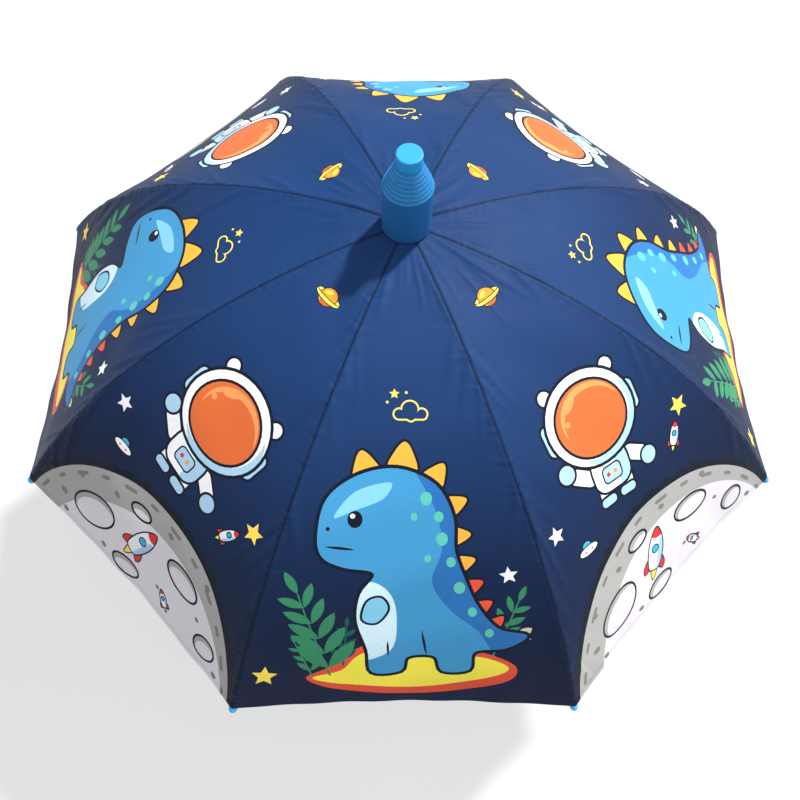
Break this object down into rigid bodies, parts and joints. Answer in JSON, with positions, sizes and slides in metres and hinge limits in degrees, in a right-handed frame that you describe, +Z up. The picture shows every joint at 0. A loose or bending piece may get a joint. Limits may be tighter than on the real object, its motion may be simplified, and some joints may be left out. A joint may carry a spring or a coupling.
{
  "type": "children's stick umbrella",
  "caption": "Manual stick umbrella for a child: ribbed dome canopy on a sliding runner, hook handle, telescopic drip sleeve on the tip.",
  "frame": {"origin": "on the shaft's axis, level with the lowest point of the hook", "axes": "+Z up along the shaft towards the tip, -Y towards the front gore, +X the way the hook turns"},
  "size_m": [0.7754, 0.7754, 0.6932],
  "materials": {
    "shaft_steel": "plated steel tube",
    "rib_steel": "black enamel",
    "wire_steel": "galvanised",
    "spring_steel": "tempered",
    "hub_nylon": "moulded, blue",
    "blue_plastic": "moulded, sky blue",
    "handle_trim": "moulded, white",
    "sleeve_plastic": "thin polypropylene, sky blue",
    "canopy_fabric": "navy pongee with a printed space scene",
    "strap_fabric": "navy pongee, doubled"
  },
  "bodies": {
    "root": {"shaft_tube": "shaft_steel", "crown": "hub_nylon", "crown_wire": "wire_steel", "canopy_washer": "blue_plastic", "ferrule": "blue_plastic", "drip_cap": "sleeve_plastic", "handle_hook": "blue_plastic", "handle_collar": "handle_trim", "closing_strap": "strap_fabric", "gore_1": "canopy_fabric", "gore_2": "canopy_fabric", "gore_3": "canopy_fabric", "gore_4": "canopy_fabric", "gore_5": "canopy_fabric", "gore_6": "canopy_fabric", "gore_7": "canopy_fabric", "gore_8": "canopy_fabric"},
    "rib_1_inner": {"rib_1_inner": "rib_steel"},
    "rib_2_inner": {"rib_2_inner": "rib_steel"},
    "rib_3_inner": {"rib_3_inner": "rib_steel"},
    "rib_4_inner": {"rib_4_inner": "rib_steel"},
    "rib_5_inner": {"rib_5_inner": "rib_steel"},
    "rib_6_inner": {"rib_6_inner": "rib_steel"},
    "rib_7_inner": {"rib_7_inner": "rib_steel"},
    "rib_8_inner": {"rib_8_inner": "rib_steel"},
    "rib_1_outer": {"rib_1_outer": "rib_steel", "tip_1": "blue_plastic"},
    "rib_2_outer": {"rib_2_outer": "rib_steel", "tip_2": "blue_plastic"},
    "rib_3_outer": {"rib_3_outer": "rib_steel", "tip_3": "blue_plastic"},
    "rib_4_outer": {"rib_4_outer": "rib_steel", "tip_4": "blue_plastic"},
    "rib_5_outer": {"rib_5_outer": "rib_steel", "tip_5": "blue_plastic"},
    "rib_6_outer": {"rib_6_outer": "rib_steel", "tip_6": "blue_plastic"},
    "rib_7_outer": {"rib_7_outer": "rib_steel", "tip_7": "blue_plastic"},
    "rib_8_outer": {"rib_8_outer": "rib_steel", "tip_8": "blue_plastic"},
    "stretcher_1": {"stretcher_1": "rib_steel"},
    "stretcher_2": {"stretcher_2": "rib_steel"},
    "stretcher_3": {"stretcher_3": "rib_steel"},
    "stretcher_4": {"stretcher_4": "rib_steel"},
    "stretcher_5": {"stretcher_5": "rib_steel"},
    "stretcher_6": {"stretcher_6": "rib_steel"},
    "stretcher_7": {"stretcher_7": "rib_steel"},
    "stretcher_8": {"stretcher_8": "rib_steel"},
    "runner": {"runner": "hub_nylon", "runner_wire": "wire_steel"},
    "top_catch": {"top_catch": "spring_steel"},
    "bottom_catch": {"bottom_catch": "spring_steel"},
    "sleeve_ring_1": {"sleeve_ring_1": "sleeve_plastic"},
    "sleeve_ring_2": {"sleeve_ring_2": "sleeve_plastic"},
    "sleeve_ring_3": {"sleeve_ring_3": "sleeve_plastic"},
    "sleeve_ring_4": {"sleeve_ring_4": "sleeve_plastic"},
    "sleeve_ring_5": {"sleeve_ring_5": "sleeve_plastic"},
    "sleeve_ring_6": {"sleeve_ring_6": "sleeve_plastic"},
    "sleeve_ring_7": {"sleeve_ring_7": "sleeve_plastic"}
  },
  "joints": [
    {"name": "canopy_fold", "type": "hinge", "parent": "root", "child": "rib_1_inner", "pos_m": [-0.00364, -0.00878, 0.59991], "axis": [0.9239, -0.3827, 0], "range_deg": [0, 74.1], "deforming": ["gore_1", "gore_2", "gore_3", "gore_4", "gore_5", "gore_6", "gore_7", "gore_8", "closing_strap", "top_catch", "bottom_catch"]},
    {"name": "rib_2_fold", "type": "hinge", "parent": "root", "child": "rib_2_inner", "pos_m": [0.00364, -0.00878, 0.59991], "axis": [0.9239, 0.3827, 0], "range_deg": [0, 74.1]},
    {"name": "rib_3_fold", "type": "hinge", "parent": "root", "child": "rib_3_inner", "pos_m": [0.00878, -0.00364, 0.59991], "axis": [0.3827, 0.9239, 0], "range_deg": [0, 74.1]},
    {"name": "rib_4_fold", "type": "hinge", "parent": "root", "child": "rib_4_inner", "pos_m": [0.00878, 0.00364, 0.59991], "axis": [-0.3827, 0.9239, 0], "range_deg": [0, 74.1]},
    {"name": "rib_5_fold", "type": "hinge", "parent": "root", "child": "rib_5_inner", "pos_m": [0.00364, 0.00878, 0.59991], "axis": [-0.9239, 0.3827, 0], "range_deg": [0, 74.1]},
    {"name": "rib_6_fold", "type": "hinge", "parent": "root", "child": "rib_6_inner", "pos_m": [-0.00364, 0.00878, 0.59991], "axis": [-0.9239, -0.3827, 0], "range_deg": [0, 74.1]},
    {"name": "rib_7_fold", "type": "hinge", "parent": "root", "child": "rib_7_inner", "pos_m": [-0.00878, 0.00364, 0.59991], "axis": [-0.3827, -0.9239, 0], "range_deg": [0, 74.1]},
    {"name": "rib_8_fold", "type": "hinge", "parent": "root", "child": "rib_8_inner", "pos_m": [-0.00878, -0.00364, 0.59991], "axis": [0.3827, -0.9239, 0], "range_deg": [0, 74.1]},
    {"name": "rib_1_flex", "type": "hinge", "parent": "rib_1_inner", "child": "rib_1_outer", "pos_m": [-0.07896, -0.19061, 0.55719], "axis": [0.9239, -0.3827, 0], "range_deg": [-24.94, 0]},
    {"name": "rib_2_flex", "type": "hinge", "parent": "rib_2_inner", "child": "rib_2_outer", "pos_m": [0.07896, -0.19061, 0.55719], "axis": [0.9239, 0.3827, 0], "range_deg": [-24.94, 0]},
    {"name": "rib_3_flex", "type": "hinge", "parent": "rib_3_inner", "child": "rib_3_outer", "pos_m": [0.19061, -0.07896, 0.55719], "axis": [0.3827, 0.9239, 0], "range_deg": [-24.94, 0]},
    {"name": "rib_4_flex", "type": "hinge", "parent": "rib_4_inner", "child": "rib_4_outer", "pos_m": [0.19061, 0.07896, 0.55719], "axis": [-0.3827, 0.9239, 0], "range_deg": [-24.94, 0]},
    {"name": "rib_5_flex", "type": "hinge", "parent": "rib_5_inner", "child": "rib_5_outer", "pos_m": [0.07896, 0.19061, 0.55719], "axis": [-0.9239, 0.3827, 0], "range_deg": [-24.94, 0]},
    {"name": "rib_6_flex", "type": "hinge", "parent": "rib_6_inner", "child": "rib_6_outer", "pos_m": [-0.07896, 0.19061, 0.55719], "axis": [-0.9239, -0.3827, 0], "range_deg": [-24.94, 0]},
    {"name": "rib_7_flex", "type": "hinge", "parent": "rib_7_inner", "child": "rib_7_outer", "pos_m": [-0.19061, 0.07896, 0.55719], "axis": [-0.3827, -0.9239, 0], "range_deg": [-24.94, 0]},
    {"name": "rib_8_flex", "type": "hinge", "parent": "rib_8_inner", "child": "rib_8_outer", "pos_m": [-0.19061, -0.07896, 0.55719], "axis": [0.3827, -0.9239, 0], "range_deg": [-24.94, 0]},
    {"name": "stretcher_1_swing", "type": "hinge", "parent": "rib_1_inner", "child": "stretcher_1", "pos_m": [-0.07437, -0.17954, 0.55589], "axis": [0.9239, -0.3827, 0], "range_deg": [-148.21, 0]},
    {"name": "stretcher_2_swing", "type": "hinge", "parent": "rib_2_inner", "child": "stretcher_2", "pos_m": [0.07437, -0.17954, 0.55589], "axis": [0.9239, 0.3827, 0], "range_deg": [-148.21, 0]},
    {"name": "stretcher_3_swing", "type": "hinge", "parent": "rib_3_inner", "child": "stretcher_3", "pos_m": [0.17954, -0.07437, 0.55589], "axis": [0.3827, 0.9239, 0], "range_deg": [-148.21, 0]},
    {"name": "stretcher_4_swing", "type": "hinge", "parent": "rib_4_inner", "child": "stretcher_4", "pos_m": [0.17954, 0.07437, 0.55589], "axis": [-0.3827, 0.9239, 0], "range_deg": [-148.21, 0]},
    {"name": "stretcher_5_swing", "type": "hinge", "parent": "rib_5_inner", "child": "stretcher_5", "pos_m": [0.07437, 0.17954, 0.55589], "axis": [-0.9239, 0.3827, 0], "range_deg": [-148.21, 0]},
    {"name": "stretcher_6_swing", "type": "hinge", "parent": "rib_6_inner", "child": "stretcher_6", "pos_m": [-0.07437, 0.17954, 0.55589], "axis": [-0.9239, -0.3827, 0], "range_deg": [-148.21, 0]},
    {"name": "stretcher_7_swing", "type": "hinge", "parent": "rib_7_inner", "child": "stretcher_7", "pos_m": [-0.17954, 0.07437, 0.55589], "axis": [-0.3827, -0.9239, 0], "range_deg": [-148.21, 0]},
    {"name": "stretcher_8_swing", "type": "hinge", "parent": "rib_8_inner", "child": "stretcher_8", "pos_m": [-0.17954, -0.07437, 0.55589], "axis": [0.3827, -0.9239, 0], "range_deg": [-148.21, 0]},
    {"name": "runner_swing", "type": "hinge", "parent": "stretcher_1", "child": "runner", "pos_m": [-0.00364, -0.00878, 0.51187], "axis": [0.9239, -0.3827, 0], "range_deg": [0, 74.1]},
    {"name": "top_catch_press", "type": "slide", "parent": "root", "child": "top_catch", "axis": [-1, 0, 0], "range_m": [0, 0.0024], "stiffness_N_per_m": 600},
    {"name": "bottom_catch_press", "type": "slide", "parent": "root", "child": "bottom_catch", "axis": [-1, 0, 0], "range_m": [0, 0.0024], "stiffness_N_per_m": 600},
    {"name": "sleeve_lift", "type": "slide", "parent": "root", "child": "sleeve_ring_1", "axis": [0, 0, 1], "range_m": [0, 0.0259]},
    {"name": "sleeve_ring_2_lift", "type": "slide", "parent": "root", "child": "sleeve_ring_2", "axis": [0, 0, 1], "range_m": [0, 0.02222]},
    {"name": "sleeve_ring_3_lift", "type": "slide", "parent": "root", "child": "sleeve_ring_3", "axis": [0, 0, 1], "range_m": [0, 0.01852]},
    {"name": "sleeve_ring_4_lift", "type": "slide", "parent": "root", "child": "sleeve_ring_4", "axis": [0, 0, 1], "range_m": [0, 0.01482]},
    {"name": "sleeve_ring_5_lift", "type": "slide", "parent": "root", "child": "sleeve_ring_5", "axis": [0, 0, 1], "range_m": [0, 0.01112]},
    {"name": "sleeve_ring_6_lift", "type": "slide", "parent": "root", "child": "sleeve_ring_6", "axis": [0, 0, 1], "range_m": [0, 0.00742]},
    {"name": "sleeve_ring_7_lift", "type": "slide", "parent": "root", "child": "sleeve_ring_7", "axis": [0, 0, 1], "range_m": [0, 0.00372]}
  ],
  "couplings": [
    {"joint": "rib_2_fold", "follows": "canopy_fold", "ratio": 1},
    {"joint": "rib_3_fold", "follows": "canopy_fold", "ratio": 1},
    {"joint": "rib_4_fold", "follows": "canopy_fold", "ratio": 1},
    {"joint": "rib_5_fold", "follows": "canopy_fold", "ratio": 1},
    {"joint": "rib_6_fold", "follows": "canopy_fold", "ratio": 1},
    {"joint": "rib_7_fold", "follows": "canopy_fold", "ratio": 1},
    {"joint": "rib_8_fold", "follows": "canopy_fold", "ratio": 1},
    {"joint": "rib_1_flex", "follows": "canopy_fold", "ratio": -0.33653},
    {"joint": "rib_2_flex", "follows": "canopy_fold", "ratio": -0.33653},
    {"joint": "rib_3_flex", "follows": "canopy_fold", "ratio": -0.33653},
    {"joint": "rib_4_flex", "follows": "canopy_fold", "ratio": -0.33653},
    {"joint": "rib_5_flex", "follows": "canopy_fold", "ratio": -0.33653},
    {"joint": "rib_6_flex", "follows": "canopy_fold", "ratio": -0.33653},
    {"joint": "rib_7_flex", "follows": "canopy_fold", "ratio": -0.33653},
    {"joint": "rib_8_flex", "follows": "canopy_fold", "ratio": -0.33653},
    {"joint": "stretcher_1_swing", "follows": "canopy_fold", "ratio": -2},
    {"joint": "stretcher_2_swing", "follows": "canopy_fold", "ratio": -2},
    {"joint": "stretcher_3_swing", "follows": "canopy_fold", "ratio": -2},
    {"joint": "stretcher_4_swing", "follows": "canopy_fold", "ratio": -2},
    {"joint": "stretcher_5_swing", "follows": "canopy_fold", "ratio": -2},
    {"joint": "stretcher_6_swing", "follows": "canopy_fold", "ratio": -2},
    {"joint": "stretcher_7_swing", "follows": "canopy_fold", "ratio": -2},
    {"joint": "stretcher_8_swing", "follows": "canopy_fold", "ratio": -2},
    {"joint": "runner_swing", "follows": "canopy_fold", "ratio": 1},
    {"joint": "sleeve_ring_2_lift", "follows": "sleeve_lift", "ratio": 0.85714},
    {"joint": "sleeve_ring_3_lift", "follows": "sleeve_lift", "ratio": 0.71429},
    {"joint": "sleeve_ring_4_lift", "follows": "sleeve_lift", "ratio": 0.57143},
    {"joint": "sleeve_ring_5_lift", "follows": "sleeve_lift", "ratio": 0.42857},
    {"joint": "sleeve_ring_6_lift", "follows": "sleeve_lift", "ratio": 0.28571},
    {"joint": "sleeve_ring_7_lift", "follows": "sleeve_lift", "ratio": 0.14286}
  ]
}
